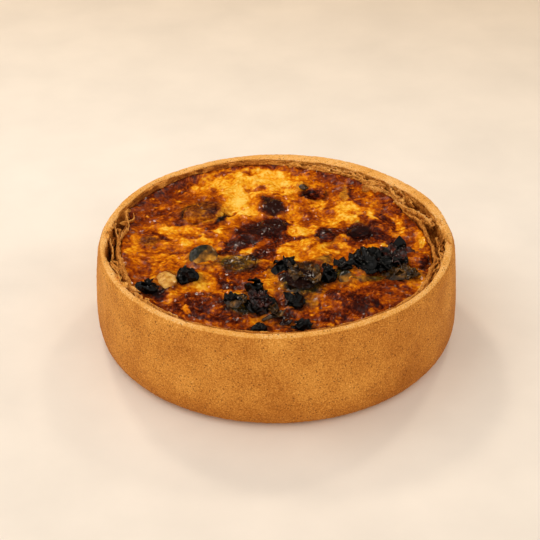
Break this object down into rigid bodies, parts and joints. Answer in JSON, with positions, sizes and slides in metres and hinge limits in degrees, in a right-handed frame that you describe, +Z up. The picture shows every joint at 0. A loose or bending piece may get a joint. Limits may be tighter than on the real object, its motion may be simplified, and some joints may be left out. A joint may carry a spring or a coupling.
{
  "type": "quiche",
  "caption": "Deep round quiche in a free-standing pastry case, its browned custard top set with courgette slices, charred greens and roast vegetable pieces.",
  "frame": {"origin": "centre of the flat underside, on the surface that the quiche stands on", "axes": "+Z up out of the custard, -Y towards the viewer, +X to the viewer's right"},
  "size_m": [0.2058, 0.2061, 0.059],
  "materials": {
    "pastry": "baked shortcrust pastry, golden brown, matt and finely pored",
    "custard": "set egg custard and cheese, golden with dark brown scorched patches, moist",
    "char": "charred greens, near black, oily",
    "greens": "wilted dark green leaves, oily",
    "courgette": "roast courgette, olive flesh with a grey-green skin",
    "potato": "roast potato, pale yellow-brown",
    "roast": "roasted vegetable, dark red-brown"
  },
  "bodies": {
    "root": {"pastry_case": "pastry", "custard_filling": "custard", "courgette_slice_left": "courgette", "courgette_slice_sunk": "courgette", "courgette_slice_back": "courgette", "courgette_wedge_centre": "courgette", "charred_greens_left": "char", "charred_greens_edge": "char", "potato_piece_left": "potato", "greens_clump_centre": "greens", "charred_knob_centre": "char", "roast_clump_right": "roast", "charred_bulb_front": "char", "charred_greens_front": "char", "charred_chip_front": "char", "charred_chip_rim": "char", "roast_piece_back": "roast", "roast_knob_small": "roast", "roast_knob_large": "roast", "leaf_large": "char", "leaf_centre": "char", "leaf_hooked": "char", "leaf_tip_right": "char", "leaf_right_front": "greens", "flake_front": "char", "leaf_front_left": "greens", "shred_front": "greens", "leaf_back": "greens", "leaf_rim_front": "roast"}
  },
  "joints": []
}
